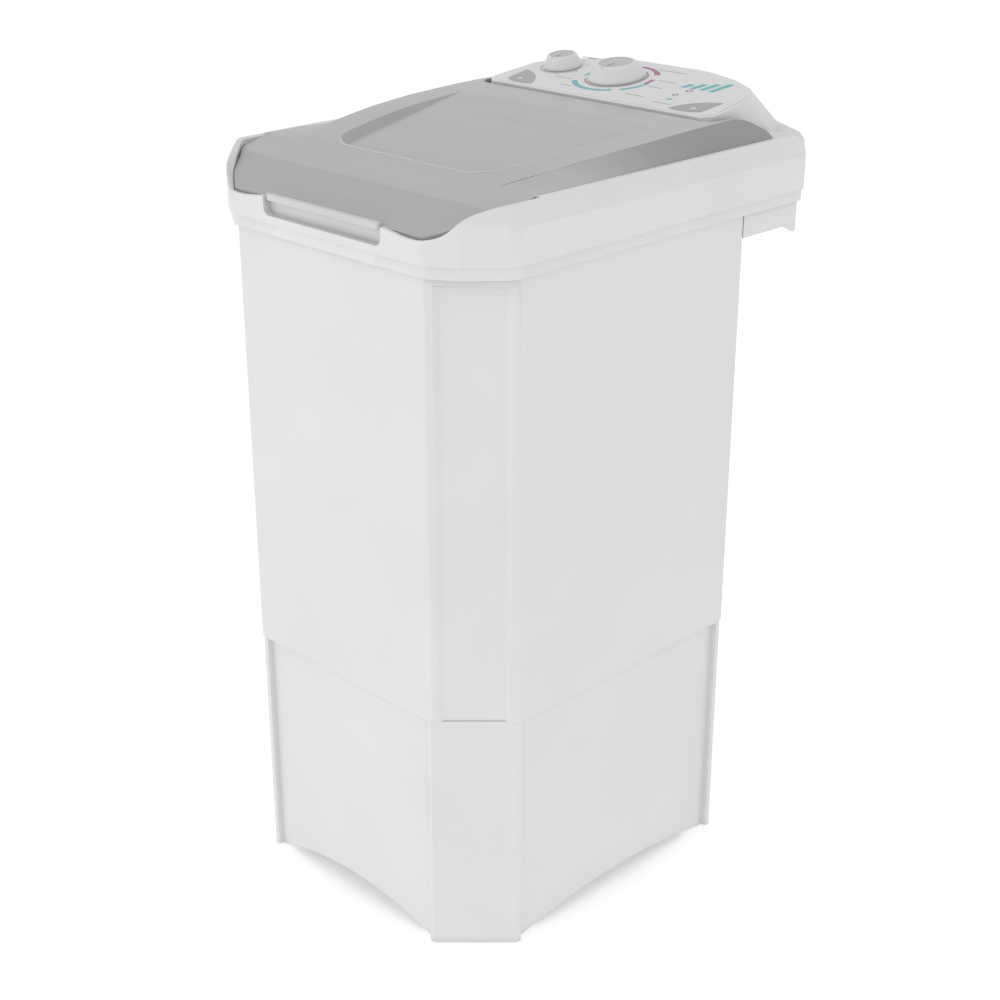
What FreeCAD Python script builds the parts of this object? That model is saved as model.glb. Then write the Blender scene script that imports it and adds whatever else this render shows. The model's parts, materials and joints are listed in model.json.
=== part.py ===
import FreeCAD, Part
import math
import os

from FreeCAD import Placement, Rotation, Vector

# A top-loading wash tub with a pulsator, a tilted rear console and a hinged lid.
# Millimetres.  The origin is on the floor under the middle of the machine:
# the front faces -Y and +Z is up.

# ------------------------------------------------------------------ driving dimensions
CABINET_Y = -55.0            # middle of the cabinet, ahead of the rear overhang
HALF_X_FLOOR = 223.0
HALF_X_RIM = 225.0
HALF_Y_FLOOR = 253.5
HALF_Y_RIM = 254.0
RIM_LEVEL = 842.0            # underside of the wide band of the top frame
CORNER_LEG = 70.0            # the corners are cut off at 45 degrees
WALL = 3.0
STEP_LEVEL = 306.0           # joint between the cabinet and its skirt
CABINET_TOP = 836.0

STRIP_DEPTH = 3.0            # sunken strip on each corner face
STRIP_MARGIN = 8.0
STRIP_RAMP = 7.0
STRIP_TOP = 819.0

SKIRT_BOTTOM = 1.5           # the posts clear the floor by this much and stand on pads
SKIRT_SIDE_INSET = 8.0
SKIRT_POST_INSET = 2.0
FRONT_ARCH_RISE = 24.0
SIDE_ARCH_RISE = 18.0
SKIRT_RAMP = 1.5             # width of the step from each post to its panel
SKIRT_FLANGE = 8.0           # each post wraps this far onto the sides before the step
SKIRT_LIP = 22.0             # the skirt's lip stands this far up inside the cabinet
SKIRT_FLOOR_REACH = 62.0     # the foot plates fill each corner this far in
FOOT_HEIGHT = 4.0
FOOT_RADIUS = 19.0
FOOT_STEM_RADIUS = 6.0
FOOT_INSET = 52.0

BAND_LEVEL = 828.0           # lower edge of the narrow band below the wide one
BAND_STEP = 3.5
BAND_WALL = 2.5
RIM_HALF_X = 231.5
RIM_FRONT = -317.0
RIM_REAR = 317.0
RIM_CREASE = 882.0           # the side walls lean in above this level
RIM_LEAN = 6.0
SIDE_RIM_TOP = 908.0
REAR_DECK_TOP = 898.0
DECK_LEVEL = 860.0
DECK_THICKNESS = 3.0
RIM_LIP_SIDE = 11.5          # from the rim's outline in to the pocket that holds the lid
RIM_LIP_FRONT = 5.5
RIM_RADII = [900, 14, 18, 24, 14, 10, 30, 60]
RIM_CURVE = [(0, 873), (100, 871.5), (158, 868.5), (181, 878), (195, 893), (208, 901), (232, 908.5)]
GRIP_HALF_X = 100.0          # hand recess in the front of the rim
GRIP_LEVEL = 848.0
GRIP_RADIUS = 9.0
GRIP_BACK_TOP = 865.5         # the recess's back wall ends just under the lid's skirt
WELL_HALF_X = 138.0          # opening under the console for its wiring
WELL_FRONT = 122.0
WELL_REAR = 268.0
COVER_FLOOR = 799.0
COVER_LUG_BOTTOM = 789.0
COVER_FRONT = 134.0
COVER_INSET = 9.5
COVER_SCREWS = [(160.0, 232.0), (70.0, 293.0)]
CORD_X, CORD_Y, CORD_RADIUS = -100.0, 250.0, 9.0
CORD_BORE = 3.8

TUB_HALF_X = 196.0
TUB_HALF_Y = 222.0
TUB_RADIUS = 62.0
TUB_TOP = 839.0
TUB_FLOOR = 350.0
TUB_DRAFT = 12.0             # the tub is this much narrower on each side at its floor
MOUTH_HALF_X = 176.0
MOUTH_FRONT = -262.0
MOUTH_REAR = 95.0
MOUTH_RADIUS = 45.0
MOUTH_BOTTOM = 815.0
DRAIN_X, DRAIN_Y, DRAIN_Z = 120.0, 75.0, 110.0
DRAIN_RADIUS = 14.0
DRAIN_BEND = 30.0
SPIGOT_LENGTH = 29.0         # from the hose's stop collar to the end
SUMP_RADIUS = 25.7

CONSOLE_TILT = 8.0
CONSOLE_FRONT = 111.0
CONSOLE_FRONT_TOP = 935.0
CONSOLE_WALL = 2.5
CONSOLE_FOOT = 892.0
CONSOLE_BASE = [(175, 109), (187, 122), (187, 236), (176, 276), (128, 300), (60, 309)]
CONSOLE_CROWN = [(170, 111), (183, 124), (175, 200), (151, 226), (116, 244), (60, 260)]
CONSOLE_RADII = [12, 14, 40, 20, 40, 120]
CONSOLE_SCREWS = [(164.0, 140.0), (92.0, 283.0)]
CONSOLE_SOCKET = 166.0       # the hinge sockets in the console start here
LABEL_THICKNESS = 0.4
LABEL_INSET = 5.0

LID_THICKNESS = 2.5
LID_GAP = 0.8
LID_NEST = 5.0               # the lid's skirt reaches this far below the rim's edge
LID_NOTCH_HALF_X = 190.0
LID_NOTCH_FRONT = 105.0
LID_TOP = [(-311.0, 870.5), (-257.0, 897.0), (-173.0, 913.5), (-60.0, 925.5), (70.0, 932.0), (130.0, 933.0)]
LID_FALL = [(146.0, 932.2), (162.0, 927.5)]
LID_RADII = [12, 14, 20, 4, 1, 20]
# where the lid's top meets the slope along each long edge: y, half width, height
LID_CREASE = [(-300, 150, 908.0), (-207, 163, 908.0), (-150, 180, 916.5), (-83, 190, 923.7),
              (-9, 196, 928.9), (77, 197, 932.3), (215, 196, 933.0)]
# the tray's outline at two levels: height, half width, front edge, corner radius
TRAY_LEVELS = [(896.0, 104.0, -186.0, 30.0), (938.0, 168.0, -214.0, 46.0)]
TRAY_REAR = 62.0
TRAY_FLOOR = [(-225.0, 899.0), (50.0, 931.8)]
HANDLE_HALF_X = 93.0
HANDLE_BOTTOM, HANDLE_TOP = 868.0, 876.0
BUMPER_X, BUMPER_Y, BUMPER_TOP = 120.0, -285.0, 877.8
HINGE_Y = 174.0
HINGE_Z = 909.0
HINGE_NOSE_RADIUS = 10.5
HINGE_NOSE_ANGLE = 60.0      # degrees above level, where the lid's top meets its nose
HINGE_PIN_RADIUS = 3.0
HINGE_BOSS_RADIUS = 6.0
HINGE_SOCKET_RADIUS = 7.0
HINGE_PIN_END = LID_NOTCH_HALF_X + 11.3

TIMER_X, TIMER_Y = -28.0, 189.0
SELECTOR_X, SELECTOR_Y = -126.0, 196.0

DRIVE_Y = CABINET_Y
MOTOR_Y = 85.0
SHAFT_RADIUS = 8.0
MOTOR_SHAFT_RADIUS = 6.0
RUNNING_GAP = 0.05
DRIVEN_PITCH_RADIUS = 82.0
DRIVE_PITCH_RADIUS = 18.0
BELT_LEVEL = 284.0
BELT_WIDTH = 8.0
BELT_DEPTH = 5.0
PLATE_LEVEL = 258.0
PLATE_THICKNESS = 3.0
HOUSING_RADIUS = 21.0
HOUSING_FOOT = 46.0
BUSH_RADIUS = 13.98
BOLT_HOLE = 2.6
PULSATOR_RADIUS = 150.0
PULSATOR_FINS = 6
MOTOR_TOP = PLATE_LEVEL - 5
MOTOR_BOTTOM = MOTOR_TOP - 96
MOTOR_RADIUS = 62.0

UP = Vector(0, 0, 1)
X_AXIS = Vector(1, 0, 0)
Y_AXIS = Vector(0, 1, 0)


# ------------------------------------------------------------------ building helpers
def rounded_wire(points, radii, z=0.0):
    """Closed wire through the (x, y) points, each corner rounded by its own radius."""
    count = len(points)
    if not isinstance(radii, (list, tuple)):
        radii = [radii] * count
    corners = [Vector(x, y, z) for x, y in points]
    arcs = []
    for i, corner in enumerate(corners):
        back = (corners[i - 1] - corner).normalize()
        ahead = (corners[(i + 1) % count] - corner).normalize()
        half_angle = back.getAngle(ahead) / 2
        if radii[i] <= 0 or half_angle > math.radians(89.9):
            arcs.append((corner, None, corner))
            continue
        run = radii[i] / math.tan(half_angle)
        bisector = (back + ahead).normalize()
        centre = corner + bisector * (radii[i] / math.sin(half_angle))
        arcs.append((corner + back * run, centre - bisector * radii[i], corner + ahead * run))
    edges = []
    for i, (start, middle, end) in enumerate(arcs):
        if middle is not None:
            edges.append(Part.Arc(start, middle, end).toShape())
        following = arcs[(i + 1) % count][0]
        if end.distanceToPoint(following) > 1e-6:
            edges.append(Part.LineSegment(end, following).toShape())
    return Part.Wire(edges)


def prism(points, radii, z0, z1):
    """Upright solid over a rounded outline."""
    return Part.Face(rounded_wire(points, radii, z0)).extrude(Vector(0, 0, z1 - z0))


def loft(wires):
    """Straight-sided solid through a stack of matching outlines."""
    return Part.makeLoft(wires, True, True)


def box(x0, x1, y0, y1, z0, z1):
    return Part.makeBox(x1 - x0, y1 - y0, z1 - z0, Vector(x0, y0, z0))


def rod(radius, start, end):
    """Round bar from one point to another."""
    run = Vector(*end) - Vector(*start)
    return Part.makeCylinder(radius, run.Length, Vector(*start), run)


def tube(outer, inner, x, y, z0, z1):
    """Upright round tube."""
    body = rod(outer, (x, y, z0), (x, y, z1))
    return body.cut(rod(inner, (x, y, z0 - 1), (x, y, z1 + 1)))


def extrude_yz(points, x0, x1):
    """Solid with the given (y, z) section, running along X."""
    wire = Part.makePolygon([Vector(x0, y, z) for y, z in points + points[:1]])
    return Part.Face(wire).extrude(Vector(x1 - x0, 0, 0))


def revolve(profile, x, y):
    """Solid of revolution from a closed (radius, z) profile."""
    wire = Part.makePolygon([Vector(r, 0, z) for r, z in profile + profile[:1]])
    solid = Part.Face(wire).revolve(Vector(0, 0, 0), UP, 360)
    solid.translate(Vector(x, y, 0))
    return solid


def fuse(shapes):
    result = shapes[0]
    if len(shapes) > 1:
        result = result.fuse(shapes[1:])
    return result.removeSplitter()


def both_sides(shape):
    """The shape and its mirror image across the middle plane."""
    return [shape, shape.mirror(Vector(0, 0, 0), X_AXIS)]


def chamfered_box(half_x, front, rear, leg):
    """Eight corners of a rectangle with its corners cut off at 45 degrees."""
    return [
        (half_x, front + leg), (half_x, rear - leg),
        (half_x - leg, rear), (-half_x + leg, rear),
        (-half_x, rear - leg), (-half_x, front + leg),
        (-half_x + leg, front), (half_x - leg, front),
    ]


def half_x(z):
    return HALF_X_FLOOR + (HALF_X_RIM - HALF_X_FLOOR) * z / RIM_LEVEL


def half_y(z):
    return HALF_Y_FLOOR + (HALF_Y_RIM - HALF_Y_FLOOR) * z / RIM_LEVEL


def rectangle(half_x, front, rear):
    return [(half_x, front), (half_x, rear), (-half_x, rear), (-half_x, front)]


def cabinet_outline(z, inset=0.0, corner_inset=None):
    """Cabinet plan at a height, with its sides and its corner faces set inwards."""
    if corner_inset is None:
        corner_inset = inset
    leg = CORNER_LEG - 2 * inset + corner_inset * math.sqrt(2)
    return chamfered_box(half_x(z) - inset, CABINET_Y - half_y(z) + inset,
                         CABINET_Y + half_y(z) - inset, leg)


def cabinet_block(z0, z1, radius, inset=0.0, corner_inset=None):
    wires = [rounded_wire(cabinet_outline(z, inset, corner_inset), radius, z) for z in (z0, z1)]
    return loft(wires)


# ------------------------------------------------------------------ cabinet and skirt
def corner_strips():
    """Shallow sunken strips, one down each corner face, with a ramp at each long edge."""
    strips = []
    for sign_x in (1, -1):
        for sign_y in (1, -1):
            sections = []
            for z in (STEP_LEVEL - 1, STRIP_TOP):
                side = Vector(sign_x * half_x(z), CABINET_Y + sign_y * (half_y(z) - CORNER_LEG), z)
                end = Vector(sign_x * (half_x(z) - CORNER_LEG), CABINET_Y + sign_y * half_y(z), z)
                along = (end - side).normalize()
                inward = Vector(-sign_x, -sign_y, 0).normalize()
                edge = STRIP_MARGIN - STRIP_RAMP / STRIP_DEPTH
                floor = STRIP_MARGIN + STRIP_RAMP
                sections.append(Part.makePolygon([
                    side + along * edge - inward,
                    side + along * floor + inward * STRIP_DEPTH,
                    end - along * floor + inward * STRIP_DEPTH,
                    end - along * edge - inward,
                    side + along * edge - inward,
                ]))
            strips.append(loft(sections))
    return strips


def make_cabinet_shell():
    outer = cabinet_block(STEP_LEVEL, CABINET_TOP, 5)
    inner = cabinet_block(STEP_LEVEL - 1, CABINET_TOP + 1, 3, WALL, WALL + STRIP_DEPTH)
    return outer.cut(inner).cut(fuse(corner_strips()))


def skirt_outline(z):
    """Skirt plan: corner posts with recessed panels between them."""
    edge_x = half_x(z) - 1
    edge_y = half_y(z) - 1
    panel_x = half_x(z) - SKIRT_SIDE_INSET
    panel_y = half_y(z) - SKIRT_SIDE_INSET
    cut = SKIRT_POST_INSET * math.sqrt(2) - 1
    flange_x = edge_x - CORNER_LEG + 1 - SKIRT_FLANGE
    flange_y = edge_y - CORNER_LEG + 1 - SKIRT_FLANGE
    quarter = [
        (panel_x, flange_y - SKIRT_RAMP),
        (edge_x, flange_y),
        (edge_x, edge_y - CORNER_LEG + 1 - cut),
        (edge_x - CORNER_LEG + 1 - cut, edge_y),
        (flange_x, edge_y),
        (flange_x - SKIRT_RAMP, panel_y),
    ]
    plan = list(quarter)
    plan += [(-x, y) for x, y in reversed(quarter)]
    plan += [(-x, -y) for x, y in quarter]
    plan += [(x, -y) for x, y in reversed(quarter)]
    return [(x, CABINET_Y + y) for x, y in plan]


def arch_cutter(chord, rise, axis, middle):
    """Long round bar whose top cuts a shallow arch through the lower edge of two walls."""
    radius = (chord * chord / 4 + rise * rise) / (2 * rise)
    reach = 700.0
    centre = Vector(0, middle, rise - radius) - axis * (reach / 2)
    return Part.makeCylinder(radius, reach, centre, axis)


def foot_places():
    x = HALF_X_FLOOR - FOOT_INSET
    y = HALF_Y_FLOOR - FOOT_INSET
    return [(sx * x, CABINET_Y + sy * y) for sx in (1, -1) for sy in (1, -1)]


def make_base_skirt():
    z0, z1 = SKIRT_BOTTOM, STEP_LEVEL
    outer = loft([rounded_wire(skirt_outline(z), 0.6, z) for z in (z0, z1)])
    wall_inset = SKIRT_SIDE_INSET + WALL
    inner = cabinet_block(z0 - 1, z1 + 1, 3, wall_inset, SKIRT_POST_INSET + WALL)
    shelf = cabinet_block(z1 - WALL, z1, 3, 1.5, SKIRT_POST_INSET + 1.5)
    shelf = shelf.cut(cabinet_block(z1 - 2 * WALL, z1 + 1, 3, wall_inset, SKIRT_POST_INSET + WALL))
    lip_gap = WALL + 0.3
    lip_corner = WALL + STRIP_DEPTH + 0.3
    lip = cabinet_block(z1 - 1, z1 + SKIRT_LIP, 3, lip_gap, lip_corner)
    lip = lip.cut(cabinet_block(z1 - 2, z1 + SKIRT_LIP + 1, 3, lip_gap + WALL, lip_corner + WALL))
    link = cabinet_block(z1 - WALL, z1, 3, lip_gap, SKIRT_POST_INSET + 1.5)
    link = link.cut(cabinet_block(z1 - 2 * WALL, z1 + 1, 3, wall_inset + 1, lip_corner + WALL))
    floor = cabinet_block(FOOT_HEIGHT, FOOT_HEIGHT + WALL, 3, wall_inset - 1, SKIRT_POST_INSET + 1)
    floor = floor.cut(cabinet_block(0, 20, 0, 4, SKIRT_FLOOR_REACH))
    skirt = fuse([outer.cut(inner), shelf, lip, link, floor])
    for x, y in foot_places():
        skirt = skirt.cut(rod(FOOT_STEM_RADIUS, (x, y, 0), (x, y, 20)))
    front_chord = 2 * (HALF_X_FLOOR - CORNER_LEG - SKIRT_FLANGE)
    side_chord = 2 * (HALF_Y_FLOOR - CORNER_LEG - SKIRT_FLANGE)
    skirt = skirt.cut(arch_cutter(front_chord, FRONT_ARCH_RISE, Y_AXIS, 0)
                      .common(box(-front_chord, front_chord, -400, 300, -50, 50)))
    side_arch = arch_cutter(side_chord, SIDE_ARCH_RISE, X_AXIS, CABINET_Y)
    skirt = skirt.cut(side_arch)
    # the drain's spigot leaves through the rear wall
    return skirt.cut(rod(DRAIN_RADIUS + 3, (DRAIN_X, 150, DRAIN_Z), (DRAIN_X, 260, DRAIN_Z)))


def make_foot_pads():
    pads = []
    for x, y in foot_places():
        pad = rod(FOOT_RADIUS, (x, y, 0), (x, y, FOOT_HEIGHT))
        stem = rod(FOOT_STEM_RADIUS, (x, y, FOOT_HEIGHT), (x, y, FOOT_HEIGHT + 9))
        pads.append(fuse([pad, stem]))
    return pads


# ------------------------------------------------------------------ wash tub and drain
def tub_outline(inset, draft=0.0):
    y = TUB_HALF_Y - inset - draft
    return rectangle(TUB_HALF_X - inset - draft, CABINET_Y - y, CABINET_Y + y)


def tub_block(z0, z1, inset):
    lower = rounded_wire(tub_outline(inset, TUB_DRAFT), TUB_RADIUS - inset, z0)
    upper = rounded_wire(tub_outline(inset), TUB_RADIUS - inset, z1)
    return loft([lower, upper])


def make_wash_tub():
    outer = tub_block(TUB_FLOOR, TUB_TOP, 0)
    inner = tub_block(TUB_FLOOR + WALL, TUB_TOP + 1, WALL)
    tub = outer.cut(inner)
    flange = prism(cabinet_outline(CABINET_TOP, 1), 4, TUB_TOP - WALL, TUB_TOP)
    flange = flange.cut(prism(tub_outline(1), TUB_RADIUS - 1, TUB_TOP - 10, TUB_TOP + 1))
    posts = [rod(9, (x, y, PLATE_LEVEL + PLATE_THICKNESS), (x, y, TUB_FLOOR + 1))
             for x, y in plate_corners()]
    tub = fuse([tub, flange] + posts)
    for x, y in plate_corners():
        tub = tub.cut(rod(2.5, (x, y, PLATE_LEVEL - 5), (x, y, PLATE_LEVEL + 30)))
    for x, y in housing_bolt_places():
        tub = tub.cut(rod(BOLT_HOLE, (x, y, TUB_FLOOR - 5), (x, y, TUB_FLOOR + 5)))
    tub = tub.cut(rod(HOUSING_RADIUS + 0.2, (0, DRIVE_Y, TUB_FLOOR - 5), (0, DRIVE_Y, TUB_FLOOR + 5)))
    sump_hole = rod(SUMP_RADIUS + 0.3, (DRAIN_X, DRAIN_Y, TUB_FLOOR - 5), (DRAIN_X, DRAIN_Y, TUB_FLOOR + 5))
    return tub.cut(sump_hole)


def make_drain_elbow():
    """Sump cup, down pipe and the spigot that a drain hose pushes onto."""
    bore = DRAIN_RADIUS - 3
    spigot_end = CABINET_Y + HALF_Y_FLOOR + 34
    cup = rod(SUMP_RADIUS, (DRAIN_X, DRAIN_Y, TUB_FLOOR - 22), (DRAIN_X, DRAIN_Y, TUB_FLOOR + WALL))
    collar = rod(34, (DRAIN_X, DRAIN_Y, TUB_FLOOR - 4), (DRAIN_X, DRAIN_Y, TUB_FLOOR - 0.1))
    cup_bore = rod(22.5, (DRAIN_X, DRAIN_Y, TUB_FLOOR - 19), (DRAIN_X, DRAIN_Y, TUB_FLOOR + 9))

    def pipe(radius, extra):
        down = rod(radius, (DRAIN_X, DRAIN_Y, TUB_FLOOR - 20 + extra),
                   (DRAIN_X, DRAIN_Y, DRAIN_Z + DRAIN_BEND))
        out = rod(radius, (DRAIN_X, DRAIN_Y + DRAIN_BEND, DRAIN_Z), (DRAIN_X, spigot_end + extra, DRAIN_Z))
        turn = DRAIN_Z + DRAIN_BEND
        circle = Part.makeCircle(radius, Vector(DRAIN_X, DRAIN_Y, turn), UP)
        elbow = Part.Face(Part.Wire(circle)).revolve(Vector(DRAIN_X, DRAIN_Y + DRAIN_BEND, turn), X_AXIS, 90)
        return [down, elbow, out]

    root = spigot_end - SPIGOT_LENGTH
    stop = rod(DRAIN_RADIUS + 4, (DRAIN_X, root - 3, DRAIN_Z), (DRAIN_X, root, DRAIN_Z))
    spigot = rod(DRAIN_RADIUS, (DRAIN_X, root, DRAIN_Z), (DRAIN_X, spigot_end, DRAIN_Z))
    body = fuse([cup, collar, stop, spigot] + pipe(DRAIN_RADIUS - 1, 0))
    return body.cut(fuse([cup_bore] + pipe(bore, 2)))


def make_drain_grille():
    level = TUB_FLOOR + WALL
    disc = rod(31, (DRAIN_X, DRAIN_Y, level), (DRAIN_X, DRAIN_Y, level + 2))
    skirt = tube(22.2, 20.0, DRAIN_X, DRAIN_Y, level - 8, level)
    grille = disc.fuse(skirt)
    for ring, count in ((8.0, 6), (16.0, 12)):
        for i in range(count):
            angle = 2 * math.pi * i / count
            x = DRAIN_X + ring * math.cos(angle)
            y = DRAIN_Y + ring * math.sin(angle)
            grille = grille.cut(rod(2.2, (x, y, level - 1), (x, y, level + 3)))
    return grille


def make_lint_filter():
    """Slotted cassette that clips on the left wall of the tub, below the mouth."""
    y0, y1 = CABINET_Y + 20, CABINET_Y + 110
    z0, z1 = 640.0, 790.0
    lean = TUB_DRAFT * (TUB_TOP - z0) / (TUB_TOP - TUB_FLOOR)
    x0 = -TUB_HALF_X + WALL + lean + 0.3
    x1 = x0 + 22
    case = prism([(x1, y0), (x1, y1), (x0, y1), (x0, y0)], [5, 5, 0, 0], z0, z1)
    hollow = box(x0 + 2, x1 - 2, y0 + 4, y1 - 4, z0 + 4, z1 + 1)
    case = case.cut(hollow)
    slots = [box(x1 - 5, x1 + 1, y0 + 12, y1 - 12, z0 + 14 + 24 * i, z0 + 26 + 24 * i) for i in range(5)]
    return case.cut(fuse(slots))


# ------------------------------------------------------------------ drive train
def plate_corners():
    return [(sx * 120.0, DRIVE_Y + y) for sx in (1, -1) for y in (-100.0, 215.0)]


def housing_bolt_places():
    reach = 34.0
    return [(reach * math.cos(a), DRIVE_Y + reach * math.sin(a))
            for a in (math.pi / 4 + i * math.pi / 2 for i in range(4))]


def motor_bolt_places():
    return [(sx * 58.0, MOTOR_Y + sy * 45.0) for sx in (1, -1) for sy in (1, -1)]


def make_bearing_housing():
    z0 = BELT_LEVEL + 18
    profile = [
        (14.0, z0), (HOUSING_RADIUS, z0), (HOUSING_RADIUS, TUB_FLOOR - 9),
        (HOUSING_FOOT, TUB_FLOOR - 6), (HOUSING_FOOT, TUB_FLOOR), (HOUSING_RADIUS, TUB_FLOOR),
        (HOUSING_RADIUS, TUB_FLOOR + 9), (14.0, TUB_FLOOR + 9),
    ]
    housing = revolve(profile, 0, DRIVE_Y)
    for x, y in housing_bolt_places():
        housing = housing.cut(rod(BOLT_HOLE, (x, y, TUB_FLOOR - 12), (x, y, TUB_FLOOR + 2)))
    return housing


def make_housing_bolts():
    bolts = []
    for x, y in housing_bolt_places():
        head = rod(4.5, (x, y, TUB_FLOOR - 13), (x, y, TUB_FLOOR - 8.6))
        stem = rod(2.5, (x, y, TUB_FLOOR - 8.6), (x, y, TUB_FLOOR + 7))
        nut = rod(4.2, (x, y, TUB_FLOOR + WALL + 0.1), (x, y, TUB_FLOOR + 6.5))
        bolts.append(fuse([head, stem, nut]))
    return bolts


def make_shaft_bushes():
    bore = SHAFT_RADIUS + RUNNING_GAP
    z0 = BELT_LEVEL + 18
    return [tube(BUSH_RADIUS, bore, 0, DRIVE_Y, z, z + 16) for z in (z0 + 1, TUB_FLOOR - 18)]


def make_shaft_seal():
    return tube(BUSH_RADIUS, SHAFT_RADIUS + RUNNING_GAP, 0, DRIVE_Y, TUB_FLOOR + 1, TUB_FLOOR + 8)


def make_pulsator_shaft():
    top = TUB_FLOOR + 40
    shaft = rod(SHAFT_RADIUS, (0, DRIVE_Y, BELT_LEVEL - 14), (0, DRIVE_Y, top))
    return shaft.cut(rod(2.5, (0, DRIVE_Y, top - 16), (0, DRIVE_Y, top + 1)))


def make_pulsator():
    floor = TUB_FLOOR + 12.0
    radius = PULSATOR_RADIUS
    profile = [
        (SHAFT_RADIUS, floor), (22.0, floor), (22.0, floor + 10), (60.0, floor + 6), (radius - 4, floor - 4),
        (radius, floor - 2), (radius, floor + 2), (radius - 8, floor + 5), (100.0, floor + 6),
        (60.0, floor + 14), (34.0, floor + 30), (18.0, floor + 34), (SHAFT_RADIUS, floor + 34),
    ]
    body = revolve(profile, 0, DRIVE_Y)
    fins = []
    for i in range(PULSATOR_FINS):
        fin = extrude_yz([(26, floor + 9), (138, floor + 1), (138, floor + 13), (112, floor + 25),
                          (64, floor + 36), (30, floor + 37)], -4, 4)
        fin.rotate(Vector(0, 0, 0), UP, 360 / PULSATOR_FINS * i)
        fin.translate(Vector(0, DRIVE_Y, 0))
        fins.append(fin)
    return fuse([body] + fins).cut(rod(SHAFT_RADIUS, (0, DRIVE_Y, 300), (0, DRIVE_Y, floor + 28)))


def make_pulsator_screw():
    top = TUB_FLOOR + 46.0
    head = rod(7.5, (0, DRIVE_Y, top), (0, DRIVE_Y, top + 6))
    stem = rod(2.4, (0, DRIVE_Y, top - 21), (0, DRIVE_Y, top))
    slot = box(-9, 9, DRIVE_Y - 1, DRIVE_Y + 1, top + 3.5, top + 7)
    return fuse([head, stem]).cut(slot)


def pulley(x, y, pitch, hub, bore, spokes):
    """Grooved belt pulley centred on the belt's level."""
    half = BELT_WIDTH / 2 + 0.5
    groove = pitch - BELT_DEPTH / 2 - 0.4
    rim = pitch + 4
    z0, z1 = BELT_LEVEL - half - 2, BELT_LEVEL + half + 2
    wheel = rod(rim, (x, y, z0), (x, y, z1))
    channel = tube(rim + 1, groove, x, y, BELT_LEVEL - half, BELT_LEVEL + half)
    wheel = wheel.cut(channel)
    if spokes:
        rim_inside = groove - 8
        wheel = wheel.cut(tube(rim_inside, hub + 4, x, y, z0 - 1, BELT_LEVEL - 1.5))
        wheel = wheel.cut(tube(rim_inside, hub + 4, x, y, BELT_LEVEL + 1.5, z1 + 1))
        middle = (rim_inside + hub + 4) / 2
        for i in range(spokes):
            angle = 2 * math.pi * i / spokes
            hole_x = x + middle * math.cos(angle)
            hole_y = y + middle * math.sin(angle)
            wheel = wheel.cut(rod(12, (hole_x, hole_y, z0), (hole_x, hole_y, z1)))
    wheel = wheel.fuse(rod(hub, (x, y, z0 - 5), (x, y, z1))).removeSplitter()
    return wheel.cut(rod(bore, (x, y, z0 - 10), (x, y, z1 + 10)))


def make_driven_pulley():
    return pulley(0, DRIVE_Y, DRIVEN_PITCH_RADIUS, 18, SHAFT_RADIUS, 6)


def make_drive_pulley():
    return pulley(0, MOTOR_Y, DRIVE_PITCH_RADIUS, 12, MOTOR_SHAFT_RADIUS, 0)


def belt_loop(offset):
    """Face inside an open belt line round both pulleys, moved outwards by offset."""
    large = DRIVEN_PITCH_RADIUS + offset
    small = DRIVE_PITCH_RADIUS + offset
    tilt = math.asin((large - small) / (MOTOR_Y - DRIVE_Y))
    cos_tilt, sin_tilt = math.cos(tilt), math.sin(tilt)

    def rim_point(centre_y, radius, side):
        return Vector(side * radius * cos_tilt, centre_y + radius * sin_tilt, 0)

    rear_right = rim_point(MOTOR_Y, small, 1)
    rear_left = rim_point(MOTOR_Y, small, -1)
    front_right = rim_point(DRIVE_Y, large, 1)
    front_left = rim_point(DRIVE_Y, large, -1)
    wire = Part.Wire([
        Part.Arc(rear_right, Vector(0, MOTOR_Y + small, 0), rear_left).toShape(),
        Part.LineSegment(rear_left, front_left).toShape(),
        Part.Arc(front_left, Vector(0, DRIVE_Y - large, 0), front_right).toShape(),
        Part.LineSegment(front_right, rear_right).toShape(),
    ])
    return Part.Face(wire)


def make_drive_belt():
    outer = belt_loop(BELT_DEPTH / 2).extrude(Vector(0, 0, BELT_WIDTH))
    inner = belt_loop(-BELT_DEPTH / 2).extrude(Vector(0, 0, BELT_WIDTH))
    belt = outer.cut(inner)
    belt.translate(Vector(0, 0, BELT_LEVEL - BELT_WIDTH / 2))
    return belt


def make_motor_plate():
    z0, z1 = PLATE_LEVEL, PLATE_LEVEL + PLATE_THICKNESS
    plate = prism(rectangle(138, DRIVE_Y - 118, DRIVE_Y + 232), 14, z0, z1)
    plate = plate.cut(rod(24, (0, MOTOR_Y, z0 - 1), (0, MOTOR_Y, z1 + 1)))
    plate = plate.cut(rod(26, (0, DRIVE_Y, z0 - 1), (0, DRIVE_Y, z1 + 1)))
    for x, y in plate_corners():
        plate = plate.cut(rod(2.7, (x, y, z0 - 1), (x, y, z1 + 1)))
    for x, y in motor_bolt_places():
        plate = plate.cut(rod(6.5, (x, y, z0 - 1), (x, y, z1 + 1)))
    for side in (1, -1):
        for y in (DRIVE_Y - 45, DRIVE_Y + 45, DRIVE_Y + 135):
            window = prism(rectangle(16, y - 22, y + 22), 8, z0 - 1, z1 + 1)
            window.translate(Vector(side * 88, 0, 0))
            plate = plate.cut(window)
    down_pipe = rod(DRAIN_RADIUS + 5, (DRAIN_X, DRAIN_Y, z0 - 1), (DRAIN_X, DRAIN_Y, z1 + 1))
    return plate.cut(down_pipe)


def make_plate_bolts():
    bolts = []
    for x, y in plate_corners():
        head = rod(5, (x, y, PLATE_LEVEL - 4), (x, y, PLATE_LEVEL))
        stem = rod(2.45, (x, y, PLATE_LEVEL), (x, y, PLATE_LEVEL + 25))
        bolts.append(fuse([head, stem]))
    return bolts


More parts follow.
